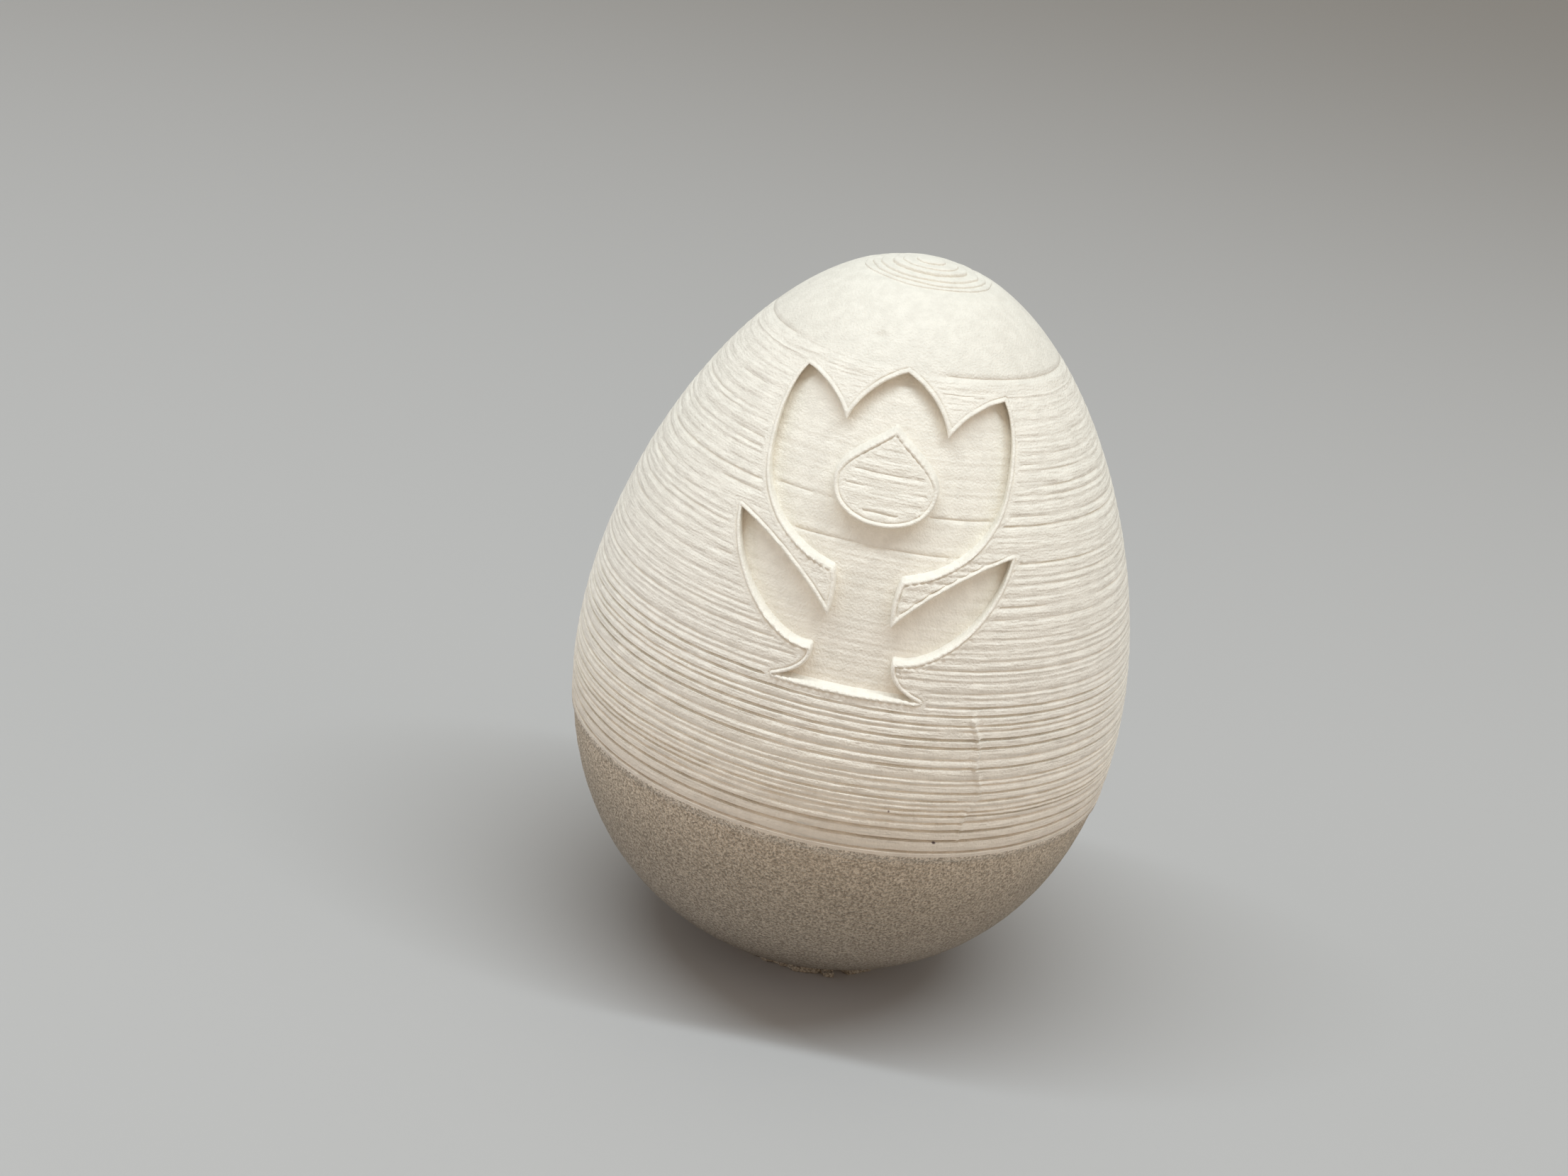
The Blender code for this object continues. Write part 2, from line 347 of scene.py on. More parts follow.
def layer_grooves():
    """Height of the groove under each printed layer, from the lip to the cap's groove."""
    dice = random.Random(SEED)
    shares = [share for share, _, _ in LAYER_KINDS]
    heights = [LIP_TOP]
    while heights[-1] < FINE_TOP - LAYER_KINDS[0][2]:
        _, low, high = dice.choices(LAYER_KINDS, shares)[0]
        heights.append(heights[-1] + dice.uniform(low, high))
    return np.array(heights + [FINE_TOP, CAP_BOTTOM])


GROOVES = layer_grooves()
PITCHES = np.diff(GROOVES)
GROOVE_SHARES = np.minimum(GROOVE_WIDTH / PITCHES, GROOVE_SHARE_LIMIT)


def groove_weights():
    """How strongly each groove is marked: less where the layers are thin."""
    dice = random.Random(SEED + 2)
    thinner = np.minimum(np.append(PITCHES, PITCHES[-1]), np.append(PITCHES[0], PITCHES))
    weights = np.array([dice.uniform(*GROOVE_WEIGHTS) for _ in GROOVES])
    return weights * np.clip(thinner / MARKED_PITCH, *MARK_LIMITS)


WEIGHTS = groove_weights()


def coarseness(height):
    """1 in the coarse layers, 0 in the fine ones."""
    low, high = COARSE_FADE
    return 1.0 - smooth_step(COARSE_TOP + low, COARSE_TOP + high, height)


def patched(shares, long, short):
    """A mark that comes and goes: an even share, and shares of the long and the short patches."""
    even_share, long_share, short_share = shares
    return even_share + long_share * long + short_share * short


def groove_depth(turn, line):
    """How deep one groove is at each turn: it fades in and out and breaks up into strands."""
    coarse = coarseness(GROOVES[line])
    long = blotches(turn, line * 3.17, LONG_PATCH, 1.0)
    short = blotches(turn, line * 5.71, SHORT_PATCH, 1.0, 9.3)
    sideways = np.abs(np.sin(turn))
    coarse_marks = patched(COARSE_PATCHES, long, short) * (1.0 + COARSE_SIDE_BOOST * sideways)
    fine_marks = patched(FINE_PATCHES, long, short) * (1.0 + FINE_SIDE_BOOST * sideways)
    depth = coarse * COARSE_GROOVE * coarse_marks + (1.0 - coarse) * FINE_GROOVE * fine_marks
    calm = 1.0 - CALM_SHARE * smooth_step(CALM_BOTTOM, CALM_TOP, GROOVES[line])
    cap_edge = smooth_step(*CAP_EDGE_RIGHT, turn) + smooth_step(*CAP_EDGE_LEFT, -turn)
    depth = calm * WEIGHTS[line] * np.maximum(depth, 0.0)
    return np.where(line >= len(GROOVES) - 1, CAP_GROOVE * cap_edge, depth)


def layer_share(level):
    """The layer that each level lies on, and how far up that layer it is."""
    line = np.clip(np.searchsorted(GROOVES, level, side="right") - 1, 0, len(GROOVES) - 2)
    return line, np.clip((level - GROOVES[line]) / (GROOVES[line + 1] - GROOVES[line]), 0.0, 1.0)


def layer_relief(turn, level):
    """Relief of the printed layers, outward from the egg form. A level is a height before layers wander."""
    line, share = layer_share(level)
    coarse = coarseness(level)
    bulge = 1.0 + BULGE_SHARE * blotches(turn, line * 2.3, BULGE_LENGTH, 1.0, 17.0)
    crest = (coarse * COARSE_CREST + (1.0 - coarse) * FINE_CREST) * bulge * np.sin(np.pi * share)
    under = groove_depth(turn, line) * np.clip(1.0 - share / GROOVE_SHARES[line], 0.0, 1.0)
    over = groove_depth(turn, line + 1) * np.clip(1.0 - (1.0 - share) / GROOVE_SHARES[line], 0.0, 1.0)
    inside = (level > LIP_TOP - 1e-6) & (level < CAP_BOTTOM + 1e-6)
    return np.where(inside, crest - under - over, 0.0)


def seam_turn(level):
    """The seam's turn at each level: it meanders a little."""
    return SEAM_TURN + np.radians(sum(side * np.sin(level / height) for side, height in SEAM_MEANDERS))


def wander(turn, level):
    """How far a printed layer rises or falls at each turn, and its slip across the seam."""
    layered = smooth_step(LIP_BOTTOM - 0.001, LIP_TOP + 0.001, level)
    layered = layered * (1.0 - smooth_step(FINE_TOP, CAP_BOTTOM + 0.0006, level))
    slow = LAYER_WANDER * blotches(turn, level, *WANDER_WAVE, 3.0)
    quick = LAYER_SHAKE * blotches(turn, level, *SHAKE_WAVE, 7.0)
    past_seam = np.mod(turn - seam_turn(level), math.tau)
    slip = SEAM_SLIP * blotches(0.0 * turn, level, 1.0, SEAM_SLIP_HEIGHT, 2.0) * (1.0 - past_seam / math.tau)
    slip = slip * smooth_step(SEAM_BOTTOM - SEAM_FADE, SEAM_BOTTOM + SEAM_FADE, level)
    slip = slip * (1.0 - smooth_step(SEAM_TOP - SEAM_FADE, SEAM_TOP + SEAM_FADE, level))
    return layered * (slow + quick) + slip


def seam_relief(turn, level):
    """The thin raised line along the seam."""
    across = (turn - seam_turn(level)) * EGG_WIDTH / 2
    ends = smooth_step(SEAM_BOTTOM, SEAM_BOTTOM + SEAM_END, level)
    ends = ends * (1.0 - smooth_step(SEAM_TOP - SEAM_END, SEAM_TOP, level))
    bead = SEAM_BEAD * smooth_step(SEAM_BEAD_BOTTOM, SEAM_BEAD_BOTTOM + SEAM_BEAD_RISE, level)
    ends = ends * (1.0 + bead)
    return SEAM_PROUD * ends * np.exp(-((across / SEAM_WIDTH) ** 2))


def cap_dent(turn, level):
    """The small dent in the cap."""
    away = np.hypot((turn - DENT_TURN) * radius_at(DENT_LEVEL), (level - DENT_LEVEL) / DENT_FLATNESS)
    return -DENT_DEPTH * (1.0 - smooth_step(DENT_FLOOR_SHARE * DENT_RADIUS, DENT_RADIUS, away))


def zone_relief(turn, level):
    """Relief of the rough underside, the lip and the cap."""
    rough = 1.0 - smooth_step(LIP_BOTTOM - 0.00005, LIP_BOTTOM + 0.0001, level)
    lumps = sum(share * blotches(turn, level, *kind) for share, *kind in LUMP_KINDS)
    lip = smooth_step(LIP_BOTTOM, LIP_BOTTOM + LIP_RISE, level)
    lip = lip * (1.0 - smooth_step(LIP_TOP - LIP_FALL, LIP_TOP, level))
    lip_wave = 1.0 + LIP_WAVE_SHARE * blotches(turn, level, *LIP_WAVE, 8.0)
    return rough * (ROUGH_LUMP * lumps - ROUGH_INSET) + LIP_PROUD * lip * lip_wave + cap_dent(turn, level)


def skin_point(turn, level):
    """Height and radius of the printed skin at each turn and level, without the carving."""
    height = level + wander(turn, level)
    relief = layer_relief(turn, level) + seam_relief(turn, level) + zone_relief(turn, level)
    return height, radius_at(height) + relief


# Finishes of the skin, in the order of its materials
SANDED, LAYERED, SMOOTH = range(3)


class Skin:
    """Vertices and faces of the skin, built ring by ring from the foot to the tip."""

    def __init__(self):
        self.vertices = []
        self.faces = []
        self.finish = SANDED
        self.finishes = []

    def add(self, points):
        """Adds points and returns their indices."""
        first = len(self.vertices)
        self.vertices.extend(map(tuple, points))
        return np.arange(first, first + len(points))

    def face(self, *corners):
        """Adds one face in the finish of this stretch of the skin."""
        self.faces.append(corners)
        self.finishes.append(self.finish)

    def ring(self, turns, heights, radii):
        """Adds one ring of points and returns its indices."""
        heights = np.broadcast_to(heights, turns.shape)
        radii = np.broadcast_to(radii, turns.shape)
        return self.add(np.stack([radii * np.sin(turns), -radii * np.cos(turns), heights], axis=1))

    def band(self, low, high, skip=None):
        """Joins two rings of the same turns, leaving out the columns of skip."""
        for i in range(len(low)):
            if skip is not None and skip[0] <= i < skip[1]:
                continue
            j = (i + 1) % len(low)
            self.face(low[i], low[j], high[j], high[i])

    def zip_rings(self, low, low_turns, high, high_turns):
        """Joins two rings whose turns differ, with triangles."""
        i = j = 0
        low_ends = np.append(low_turns, low_turns[0] + math.tau)
        high_ends = np.append(high_turns, high_turns[0] + math.tau)
        while i < len(low) or j < len(high):
            a, b = low[i % len(low)], high[j % len(high)]
            if j == len(high) or (i < len(low) and low_ends[i + 1] <= high_ends[j + 1]):
                self.face(a, low[(i + 1) % len(low)], b)
                i += 1
            else:
                self.face(a, high[(j + 1) % len(high)], b)
                j += 1

    def fan(self, ring, centre, upward):
        """Closes a ring with triangles to one point."""
        for i in range(len(ring)):
            j = (i + 1) % len(ring)
            pair = (ring[i], ring[j]) if upward else (ring[j], ring[i])
            self.face(*pair, centre)


def even_turns(count):
    """Turns of a ring with that many equal columns."""
    return np.arange(count) * math.tau / count - math.pi


def spaced(low, high, step):
    """Evenly spaced values from low up to, but not with, high."""
    count = max(1, round((high - low) / step))
    return [low + (high - low) * i / count for i in range(count)]


def layered_turns():
    """Columns of the layered zone: close at the front and round the seam, wider at the back."""
    window = math.degrees(WINDOW_TURN)
    stops = (
        (-180.0, -SIDE_END, BACK_COLUMN),
        (-SIDE_END, -window, SIDE_COLUMN),
        (-window, SEAM_COLUMNS[0], FRONT_COLUMN),
        (*SEAM_COLUMNS, SEAM_COLUMN),
        (SEAM_COLUMNS[1], window, FRONT_COLUMN),
        (window, SIDE_END, SIDE_COLUMN),
        (SIDE_END, 180.0, BACK_COLUMN),
    )
    turns = [turn for low, high, step in stops for turn in spaced(low, high, step)]
    return np.radians(np.array(turns))


def layered_levels():
    """Levels of the rows from the lip to the cap, with a row in each groove and three on each layer."""
    levels = [LIP_BOTTOM + step for step in LIP_ROWS]
    for low, high, share in zip(GROOVES[:-1], GROOVES[1:], GROOVE_SHARES):
        levels += [low + place * (high - low) for place in (0.0, share, 0.5, 1.0 - share)]
    levels += [CAP_BOTTOM + step for step in CAP_EDGE_ROWS]
    return np.array([level for level in levels if level < WINDOW_TOP] + [WINDOW_TOP])


def outline(knots, spacing):
    """Closed outline, anticlockwise, of a shape given by the Bezier knots of its right half."""
    half = []
    for (start, _, leave), (end, arrive, _) in zip(knots[:-1], knots[1:]):
        rough_length = math.dist(start, leave) + math.dist(leave, arrive) + math.dist(arrive, end)
        steps = max(1, math.ceil(rough_length / spacing))
        for i in range(steps):
            t = i / steps
            weights = ((1 - t) ** 3, 3 * (1 - t) ** 2 * t, 3 * (1 - t) * t**2, t**3)
            half.append(sum(w * np.array(p) for w, p in zip(weights, (start, leave, arrive, end))))
    half.append(np.array(knots[-1][0]))
    mirrored = [np.array((-x, z)) for x, z in half[-2:0:-1]]
    return even_loop(np.array(half + mirrored), spacing)


def even_loop(loop, spacing):
    """The loop with its points at even spacing between corners, which stay."""
    before = loop - np.roll(loop, 1, axis=0)
    after = np.roll(loop, -1, axis=0) - loop
    bend = np.arctan2(
        before[:, 0] * after[:, 1] - before[:, 1] * after[:, 0], (before * after).sum(axis=1)
    )
    corners = np.flatnonzero(np.abs(bend) > CORNER_ANGLE)
    points = []
    for start, end in zip(corners, np.append(corners[1:], corners[0] + len(loop))):
        run = loop[np.arange(start, end + 1) % len(loop)]
        along = np.append(0.0, np.cumsum(np.linalg.norm(np.diff(run, axis=0), axis=1)))
        places = np.linspace(0.0, along[-1], max(2, round(along[-1] / spacing) + 1))[:-1]
        points.append(np.stack([np.interp(places, along, run[:, k]) for k in (0, 1)], axis=1))
    return np.concatenate(points)


def nearest_on(points, loop):
    """Distance to a closed loop, how far along it the nearest place is, and how much that place faces up."""
    ends = np.roll(loop, -1, axis=0)
    along = ends - loop
    lengths = np.linalg.norm(along, axis=1)
    starts = np.append(0.0, np.cumsum(lengths)[:-1])
    facing = -along[:, 0] / lengths
    distance, place, upward = (np.empty(len(points)) for _ in range(3))
    for first in range(0, len(points), POINTS_AT_ONCE):
        rows = slice(first, first + POINTS_AT_ONCE)
        part = points[rows]
        share = ((part[:, None] - loop) * along).sum(axis=2) / lengths**2
        share = np.clip(share, 0.0, 1.0)
        gaps = np.linalg.norm(part[:, None] - (loop + share[..., None] * along), axis=2)
        best = gaps.argmin(axis=1)
        each = np.arange(len(part))
        distance[rows] = gaps[each, best]
        place[rows] = starts[best] + share[each, best] * lengths[best]
        upward[rows] = facing[best]
    return distance, place, upward


def is_inside(points, loop):
    """Whether each point lies inside a closed loop."""
    ends = np.roll(loop, -1, axis=0)
    inside = np.zeros(len(points), bool)
    for (x1, z1), (x2, z2) in zip(loop, ends):
        if z1 == z2:
            continue
        crosses = (z1 > points[:, 1]) != (z2 > points[:, 1])
        inside ^= crosses & (points[:, 0] < (x2 - x1) * (points[:, 1] - z1) / (z2 - z1) + x1)
    return inside


def grown(loop, width, spacing):
    """The loop moved outward by width, or inward where width is negative, with folds left out."""
    along = np.roll(loop, -1, axis=0) - loop
    outward = np.stack([along[:, 1], -along[:, 0]], axis=1)
    outward /= np.linalg.norm(outward, axis=1)[:, None]
    moved = []
    for i, point in enumerate(loop):
        before, after = outward[i - 1], outward[i]
        bend = math.atan2(before[0] * after[1] - before[1] * after[0], before @ after)
        steps = max(1, round(abs(bend * width) / spacing))
        for step in range(steps + 1):
            angle = bend * step / steps
            moved.append(point + width * np.array(Matrix.Rotation(angle, 2) @ Vector(before)))
    moved = np.array(moved)
    kept = moved[nearest_on(moved, loop)[0] > abs(width) * FOLD_MARGIN]
    thinned = [kept[0]]
    for point in kept[1:]:
        if np.linalg.norm(point - thinned[-1]) > spacing * CLOSEST_SHARE:
            thinned.append(point)
    if np.linalg.norm(thinned[-1] - thinned[0]) < spacing * CLOSEST_SHARE:
        thinned.pop()
    return np.array(thinned)


FLOWER_LOOP = outline(FLOWER, EDGE_SPACING)
BUD_LOOP = outline(BUD, EDGE_SPACING)


def carving_distance(points):
    """Distance from the carving's edge, negative inside it, the place along it, and how the edge faces."""
    to_flower, flower_place, flower_up = nearest_on(points, FLOWER_LOOP)
    to_bud, bud_place, bud_up = nearest_on(points, BUD_LOOP)
    carved = is_inside(points, FLOWER_LOOP) & ~is_inside(points, BUD_LOOP)
    near_flower = to_flower < to_bud
    distance = np.where(near_flower, to_flower, to_bud)
    place = np.where(near_flower, flower_place, bud_place + 1.0)
    upward = np.where(near_flower, flower_up, -bud_up)
    return np.where(carved, -distance, distance), place, upward


def along_edge(place, length, salt):
    """Noise along the carving's edge."""
    return np.array([noise.noise((p / length, salt, 0.5)) for p in place])


def bump_wave(place):
    """Uneven wave along the carving's edge, from -1 to 1."""
    return np.sin(math.tau * place / WALL_BUMP + 4.0 * along_edge(place, 0.0012, 19.5))


def strands_relief(distance, place, upward, level, across):
    """The strands outside the carving's edge. At the right their outer side meets the rounded layer ends."""
    outward, heights = zip(*STRANDS_SECTION)
    outer_strand = smooth_step(STRANDS_SECTION[4][0], STRANDS_SECTION[6][0], distance)
    waves = 1.0
    for amount, length, salt in STRAND_WAVES:
        waves = waves + amount * along_edge(place, length, salt)
    amount, length, salt = OUTER_STRAND_WAVE
    waves = waves + outer_strand * (amount * along_edge(place, length, salt) - OUTER_STRAND_LOSS)
    waves = waves + ROPE_RELIEF * smooth_step(*LEDGE_FACING, -upward) * bump_wave(place)
    below, above = STRAND_ENDS_FADE
    ends = smooth_step(*STRAND_ENDS_ACROSS, across)
    ends = ends * smooth_step(STRAND_ENDS_BOTTOM - below, STRAND_ENDS_BOTTOM, level)
    ends = ends * (1.0 - smooth_step(STRAND_ENDS_TOP, STRAND_ENDS_TOP + above, level))
    _, share = layer_share(level)
    rounded = STRAND_ENDS_RELIEF * (np.sin(np.pi * share) - STRAND_ENDS_SINK) * outer_strand * ends
    near = (distance > -FLOOR_EDGE) & (distance < STRANDS_WIDTH)
    return np.where(near, np.interp(distance, outward, heights) * waves + rounded, 0.0)


def floor_lines(turn, level):
    """A few long thin grooves on the carving's floor."""
    line, share = layer_share(level)
    marked = WEIGHTS[line] > FLOOR_LINE_WEIGHT
    even, broken = FLOOR_LINE_SHARES
    fade = np.clip(even + broken * blotches(turn, line * 4.9, FLOOR_LINE_LENGTH, 1.0, 21.0), 0.0, 1.0)
    return np.where(marked, -FLOOR_LINE * fade * np.clip(1.0 - share / GROOVE_SHARES[line], 0.0, 1.0), 0.0)


def wall_bumps(distance, place, upward):
    """Small bumps along the walls that face up, where the layers' ends were drawn round."""
    ledge = smooth_step(*LEDGE_FACING, -upward)
    near = np.clip(1.0 - np.abs(distance + WALL_BUMP_PLACE) / WALL_BUMP_REACH, 0.0, 1.0)
    return WALL_BUMP_RELIEF * ledge * near * bump_wave(place)


def carved_point(points, turn, level):
    """Places of window points from their (x, z), turn and level: strands outside, wall and floor inside."""
    distance, place, upward = carving_distance(points)
    height = points[:, 1]
    smooth = radius_at(height)
    printed = layer_relief(turn, level) + seam_relief(turn, level)
    covered = distance < STRANDS_WIDTH + 0.3 * EDGE_SPACING
    strands = strands_relief(distance, place, upward, level, points[:, 0])
    strands = strands + wall_bumps(distance, place, upward)
    relief = np.where(covered, strands, printed)
    wobble = EDGE_WOBBLE * along_edge(place, EDGE_WOBBLE_LENGTH, 13.5)
    height = height + wobble * (np.abs(distance) < STRANDS_WIDTH)
    outer = np.stack([(smooth + relief) * np.sin(turn), -(smooth + relief) * np.cos(turn), height], axis=1)
    inward, share = zip(*WALL_SECTION)
    sunk = np.interp(-distance, inward, share)
    floor_radius = smooth - CARVE_DEPTH + FLOOR_LAYERS * layer_relief(turn, level) + floor_lines(turn, level)
    inner = np.stack([points[:, 0], -np.sqrt(floor_radius**2 - points[:, 0] ** 2), height], axis=1)
    return outer + (inner - outer) * sunk[:, None]


def level_of(turn, height):
    """The level that the layers' wander brings to each height."""
    level = height - wander(turn, height)
    return height - wander(turn, level)


def edge_loops():
    """Rings of (x, z) points that follow the carving's edges: the two wall lines, then the others."""
    wall_top, wall_foot, others = [], [], []
    steps = [inward for inward, _ in WALL_SECTION[1:-1]] + [FLOOR_EDGE]
    for loop, side in ((FLOWER_LOOP, 1.0), (BUD_LOOP, -1.0)):
        wall_top.append(loop)
        wall_foot.append(grown(loop, -side * WALL_SECTION[-1][0], EDGE_SPACING))
        others += [grown(loop, -side * step, EDGE_SPACING) for step in steps]
        others += [grown(loop, side * step, EDGE_SPACING) for step, _ in STRANDS_SECTION[1:]]
    return wall_top + wall_foot, others


def fill_window(skin, border, border_data, inner_data):
    """Meshes the window round the carving and joins it to the rings along its border."""
    turn, level = inner_data
    height = level + wander(turn, level)
    grid = np.stack([radius_at(height) * np.sin(turn), height], axis=1)
    distance = carving_distance(grid)[0]
    clear = (distance > STRANDS_WIDTH + 0.6 * EDGE_SPACING) | (distance < -FLOOR_EDGE - 0.6 * EDGE_SPACING)
    grid, turn, level = grid[clear], turn[clear], level[clear]
    fixed, others = edge_loops()

    border_turn, border_level = border_data
    border_height = border_level + wander(border_turn, border_level)
    border_points = np.stack([radius_at(border_height) * np.sin(border_turn), border_height], axis=1)
    sets = [border_points] + fixed + others + [grid]
    starts = np.append(0, np.cumsum([len(points) for points in sets]))
    edges = []
    for first, points in zip(starts, sets[: 1 + len(fixed)]):
        edges += [(first + i, first + (i + 1) % len(points)) for i in range(len(points))]
    flat = np.concatenate(sets) * 1000.0
    result = delaunay_2d_cdt([Vector(point) for point in flat], edges, [], 1, 1e-5)
    new_points, _, triangles, origins = result[:4]

    points = np.array([tuple(point) for point in new_points]) / 1000.0
    near_turn = np.arcsin(np.clip(points[:, 0] / radius_at(points[:, 1]), -1.0, 1.0))
    near_level = level_of(near_turn, points[:, 1])
    index = np.full(len(points), -1)
    for i, origin in enumerate(origins):
        if not origin:
            continue
        if origin[0] < starts[1]:
            index[i] = border[origin[0]]
        elif origin[0] >= starts[-2]:
            near_turn[i] = turn[origin[0] - starts[-2]]
            near_level[i] = level[origin[0] - starts[-2]]
    triangles = np.array(triangles)
    new = (index < 0) & np.isin(np.arange(len(points)), triangles)
    index[new] = skin.add(carved_point(points[new], near_turn[new], near_level[new]))
    middles = points[triangles].mean(axis=1)
    layered = (carving_distance(middles)[0] > STRANDS_WIDTH) & (middles[:, 1] < CAP_BOTTOM)
    for triangle, in_layers in zip(index[triangles], layered):
        skin.finish = LAYERED if in_layers else SMOOTH
        skin.face(*triangle)


def foot_reach(turns):
    """Radius of the foot's torn edge at each turn."""
    dice = random.Random(SEED + 1)
    lumps = list(FOOT_LUMPS)
    for i in range(FOOT_EXTRA_LUMPS):
        turn = 60.0 + 300.0 * (i + dice.uniform(0.2, 0.8)) / FOOT_EXTRA_LUMPS
        lumps.append((turn, dice.uniform(2.0, 9.0), dice.uniform(-0.0003, 0.0006)))
    reach = FOOT_RADIUS + FOOT_FRAY * blotches(turns, 0.0, FOOT_FRAY_LENGTH, 1.0, 11.0)
    for turn, half_width, amount in lumps:
        away = np.abs(np.mod(np.degrees(turns) - turn + 180.0, 360.0) - 180.0)
        reach = reach + amount * (1.0 - smooth_step(half_width * 0.75, half_width * 1.15, away))
    return reach


def add_foot(skin):
    """The flat underside and the torn edge of the foot. Returns the last ring and its turns."""
    turns = even_turns(FOOT_COLUMNS)
    reach = foot_reach(turns)
    inner_turns = even_turns(SOLE_COLUMNS)
    centre = skin.add([(0.0, 0.0, 0.0)])[0]
    inner = skin.ring(inner_turns, 0.0, SOLE_RADIUS)
    skin.fan(inner, centre, upward=False)
    outer = skin.ring(turns, 0.0, reach - SOLE_INSET)
    skin.zip_rings(inner, inner_turns, outer, turns)
    last = outer
    for height, inset in FOOT_SECTION:
        low_form = radius_at(np.full(len(turns), height))
        ring = skin.ring(turns, height, np.maximum(reach - inset, low_form))
        skin.band(last, ring)
        last = ring
    for height in SKIRT_HEIGHTS:
        skirt = reach - SKIRT_INSET - (height - FOOT_THICK) * SKIRT_SLOPE
        low_form = radius_at(np.full(len(turns), height)) - ROUGH_INSET
        ring = skin.ring(turns, height, np.maximum(skirt, low_form))
        skin.band(last, ring)
        last = ring
    return last, turns


def rough_levels():
    """Levels of the rows of the rough underside, evenly spaced along the egg form."""
    low, high = (math.acos(1.0 - 2.0 * (z + BASE_CUT) / EGG_HEIGHT) for z in (FOOT_TOP, LIP_BOTTOM))
    angles = np.linspace(low, high, ROUGH_ROWS)
    return EGG_HEIGHT * (1.0 - np.cos(angles)) / 2 - BASE_CUT


def add_rough(skin, last, turns):
    """The sandy underside, from the foot up to the lip."""
    for level in rough_levels():
        ring = skin.ring(turns, *skin_point(turns, np.full(len(turns), level)))
        skin.band(last, ring)
        last = ring
    return last


def add_layers(skin, last, last_turns):
    """The layered zone, with the window for the carving left to fill_window."""
    turns, levels = layered_turns(), layered_levels()
    left, right = np.searchsorted(turns, (-WINDOW_TURN - 1e-6, WINDOW_TURN - 1e-6))
    bottom = np.searchsorted(levels, WINDOW_BOTTOM)
    rings = []
    for row, level in enumerate(levels):
        if bottom < row < len(levels) - 1:
            kept = np.r_[0 : left + 1, right : len(turns)]
        else:
            kept = np.arange(len(turns))
        ring = np.full(len(turns), -1)
        ring[kept] = skin.ring(turns[kept], *skin_point(turns[kept], np.full(len(kept), level)))
        rings.append(ring)
    skin.zip_rings(last, last_turns, rings[0], turns)
    for row, level in enumerate(levels[:-1]):
        skin.finish = SANDED if level < LIP_SANDED_TOP else LAYERED if level < CAP_BOTTOM else SMOOTH
        skin.band(rings[row], rings[row + 1], (left, right) if row >= bottom else None)

    top = len(levels) - 1
    across, upward = range(left, right), range(bottom, top)
    path = [(bottom, column) for column in across] + [(row, right) for row in upward]
    path += [(top, column) for column in reversed(range(left + 1, right + 1))]
    path += [(row, left) for row in reversed(range(bottom + 1, top + 1))]
    border = np.array([rings[row][column] for row, column in path])
    border_data = turns[[c for _, c in path]], levels[[r for r, _ in path]]
    inner_turn, inner_level = np.meshgrid(turns[left + 1 : right], levels[bottom + 1 : top])
    fill_window(skin, border, border_data, (inner_turn.ravel(), inner_level.ravel()))
    return rings[-1], turns


def add_cap(skin, last, last_turns):
    """The smooth cap between the layers and the tip's steps."""
    skin.finish = SMOOTH
    turns = even_turns(CAP_COLUMNS)
    for row, level in enumerate(np.linspace(WINDOW_TOP + CAP_START, TIP_BOTTOM - CAP_END, CAP_ROWS)):
        levels = np.full(len(turns), level)
        soft = CAP_SOFT_RELIEF * blotches(turns, levels, CAP_SOFT_WAVE, CAP_SOFT_WAVE, 12.0)
        ring = skin.ring(turns, levels, radius_at(levels) + soft + cap_dent(turns, levels))
        if row == 0:
            skin.zip_rings(last, last_turns, ring, turns)
        else:
            skin.band(last, ring)
        last = ring
    return last, turns


def add_tip(skin, last, last_turns):
    """The printed steps at the tip: a rounded riser and a tread for each layer."""
    for step, (height, radius) in enumerate(TIP_TREADS):
        turns = even_turns(TIP_COLUMNS if radius > TIP_FEW_COLUMNS_RADIUS else TIP_FEW_COLUMNS)
        low = TIP_TREADS[step - 1][0] if step else TIP_BOTTOM - TIP_START
        uneven = 1.0
        for amount, length, salt in TIP_WAVES:
            uneven = uneven + amount * blotches(turns, float(step), length, 1.0, salt)
        rise = height - low
        for share, inset in TIP_SECTION:
            ring = skin.ring(turns, low + share * rise, radius * uneven - inset)
            if len(turns) == len(last_turns):
                skin.band(last, ring)
            else:
                skin.zip_rings(last, last_turns, ring, turns)
            last, last_turns = ring, turns
    centre = skin.add([(0.0, 0.0, TIP_TOP + TIP_CENTRE_RISE)])[0]
    skin.fan(last, centre, upward=True)


def make_skin():
    """The whole printed egg as one closed mesh."""
    skin = Skin()
    last, turns = add_foot(skin)
    last = add_rough(skin, last, turns)
    last, turns = add_layers(skin, last, turns)
    last, turns = add_cap(skin, last, turns)
    add_tip(skin, last, turns)
    mesh = bpy.data.meshes.new("egg_skin")
    mesh.from_pydata(skin.vertices, [], [tuple(map(int, face)) for face in skin.faces])
    mesh.polygons.foreach_set("material_index", skin.finishes)
    mesh.shade_smooth()
    mesh.set_sharp_from_angle(angle=math.radians(50.0))
    piece = bpy.data.objects.new("egg_skin", mesh)
    bpy.context.scene.collection.objects.link(piece)
    return piece


def node_group(name, inputs, outputs):
    """A new shader node group. Inputs are (name, socket kind, first value), outputs (name, socket kind)."""
    tree = bpy.data.node_groups.new(name, "ShaderNodeTree")
    for socket, kind, value in inputs:
        made = tree.interface.new_socket(name=socket, in_out="INPUT", socket_type="NodeSocket" + kind)
        made.default_value = value
    for socket, kind in outputs:
        tree.interface.new_socket(name=socket, in_out="OUTPUT", socket_type="NodeSocket" + kind)
    return tree, tree.nodes.new("NodeGroupInput"), tree.nodes.new("NodeGroupOutput")


